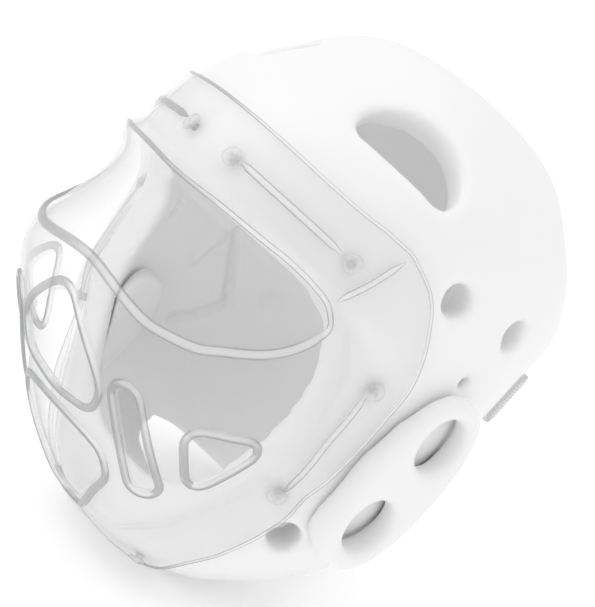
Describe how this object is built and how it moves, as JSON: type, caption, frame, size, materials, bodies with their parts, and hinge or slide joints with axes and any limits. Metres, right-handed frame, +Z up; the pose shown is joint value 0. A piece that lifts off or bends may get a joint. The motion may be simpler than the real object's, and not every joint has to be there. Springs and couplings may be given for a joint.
{
  "type": "karate headgear",
  "caption": "White dipped-foam head guard with half-moon crown openings, ear flaps, cheek pads, a clear riveted face shield with vents and a woven rear strap.",
  "frame": {"origin": "on the surface that the guard stands on, under the middle of its box", "axes": "+Z up, -Y the way the wearer's face looks, +X the wearer's left; the guard is pitched back about X as it rests on chin sling and nape"},
  "size_m": [0.221, 0.2732, 0.2567],
  "materials": {
    "white_foam": "satin dipped skin over soft foam",
    "pad_foam": "matte lining over soft foam",
    "clear_shield": "clear polished plastic",
    "clear_rivet": "polished clear plastic",
    "woven_strap": "woven elastic"
  },
  "bodies": {
    "root": {"foam_shell": "white_foam", "ear_flap_left": "white_foam", "ear_flap_right": "white_foam", "cheek_pad_left": "pad_foam", "cheek_pad_right": "pad_foam", "face_shield": "clear_shield", "rear_strap": "woven_strap", "rivet_01": "clear_rivet", "rivet_02": "clear_rivet", "rivet_03": "clear_rivet", "rivet_04": "clear_rivet", "rivet_05": "clear_rivet", "rivet_06": "clear_rivet", "rivet_07": "clear_rivet", "rivet_08": "clear_rivet", "rivet_09": "clear_rivet", "rivet_10": "clear_rivet"}
  },
  "joints": []
}
